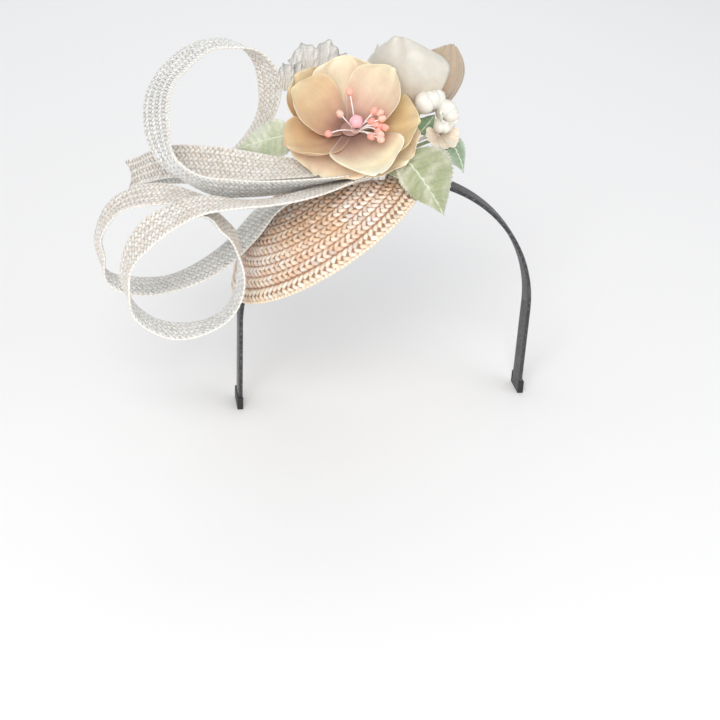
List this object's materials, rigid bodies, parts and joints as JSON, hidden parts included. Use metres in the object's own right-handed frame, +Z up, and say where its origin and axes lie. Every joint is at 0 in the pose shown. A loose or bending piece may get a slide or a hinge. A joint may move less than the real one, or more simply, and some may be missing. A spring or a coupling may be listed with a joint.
{
  "type": "fascinator headpiece",
  "caption": "Domed straw button fascinator on a covered alice band, with curled straw-braid loops, silk flowers, buds and velvet leaves.",
  "frame": {"origin": "centre of the band's crown arc, at the middle of the band's width", "axes": "+Z up towards the top of the band, -Y towards the wearer's face, +X to the wearer's left"},
  "size_m": [0.2256, 0.1195, 0.1864],
  "materials": {
    "sparkle_fabric": "black sparkle fabric",
    "band_plastic": "matte",
    "tip_rubber": "satin",
    "straw": "braided straw, semi-gloss",
    "straw_edge": "braided straw, semi-gloss",
    "buckram": "stiffened mesh",
    "lining": "woven",
    "wire": "satin",
    "felt": "felt",
    "loop_straw": "braided straw, glossy",
    "peach_silk": "silk satin",
    "cream_silk": "silk satin",
    "calyx": "paper wrap",
    "pistil": "satin",
    "thread": "cotton",
    "stamen_head": "satin",
    "white_satin": "satin",
    "peach_brown_silk": "silk",
    "organza": "sheer",
    "leaf_pale": "velvet",
    "leaf_dark": "velvet",
    "stem_wrap": "paper wrap"
  },
  "bodies": {
    "crown": {"band_core_crown": "band_plastic", "band_cover_crown": "sparkle_fabric", "base_buckram": "buckram", "base_edge_braid": "straw_edge", "base_edge_wire": "wire", "base_lining": "lining", "base_seat_pad_crown": "felt", "base_seat_pad_side": "felt", "base_straw_braid": "straw", "bud_base_petals": "peach_brown_silk", "bud_stem": "stem_wrap", "bud_white_lower": "white_satin", "bud_white_upper": "white_satin", "cream_calyx": "calyx", "cream_inner_bud": "cream_silk", "cream_petal_1": "cream_silk", "cream_petal_2": "cream_silk", "cream_petal_3": "cream_silk", "cream_petal_4": "cream_silk", "cream_petal_5": "cream_silk", "cream_stem": "stem_wrap", "flower_mount_disc": "felt", "leaf_dark_side": "leaf_dark", "leaf_hanging": "leaf_pale", "leaf_left_pale": "leaf_pale", "leaf_small_dark": "leaf_dark", "leaf_stem_dark": "stem_wrap", "leaf_stem_hanging": "stem_wrap", "leaf_stem_left": "stem_wrap", "leaf_stem_small": "stem_wrap", "leaf_under_flower": "leaf_pale", "loop_front": "loop_straw", "loop_left": "loop_straw", "loop_middle": "loop_straw", "loop_root_binding": "loop_straw", "loop_top": "loop_straw", "organza_ruffle_back": "organza", "organza_ruffle_left": "organza", "organza_stem_back": "stem_wrap", "organza_stem_left": "stem_wrap", "peach_calyx": "calyx", "peach_petal_inner_1": "peach_silk", "peach_petal_inner_2": "peach_silk", "peach_petal_inner_3": "peach_silk", "peach_petal_inner_4": "peach_silk", "peach_petal_outer_1": "peach_silk", "peach_petal_outer_2": "peach_silk", "peach_petal_outer_3": "peach_silk", "peach_petal_outer_4": "peach_silk", "peach_petal_outer_5": "peach_silk", "peach_pistil": "pistil", "peach_stamen_heads": "stamen_head", "peach_stamen_threads": "thread", "peach_stem": "stem_wrap"},
    "left_arm": {"band_core_left": "band_plastic", "band_cover_left": "sparkle_fabric", "band_tip_left": "tip_rubber"},
    "right_arm": {"band_core_right": "band_plastic", "band_cover_right": "sparkle_fabric", "band_tip_right": "tip_rubber"}
  },
  "joints": [
    {"name": "left_arm_flex", "type": "hinge", "parent": "crown", "child": "left_arm", "pos_m": [0.07603, 0, 0.00506], "axis": [0, -1, 0], "range_deg": [-4, 15], "stiffness_Nm_per_rad": 0.7},
    {"name": "right_arm_flex", "type": "hinge", "parent": "crown", "child": "right_arm", "pos_m": [-0.07603, 0, 0.00506], "axis": [0, 1, 0], "range_deg": [-4, 15], "stiffness_Nm_per_rad": 0.7}
  ]
}
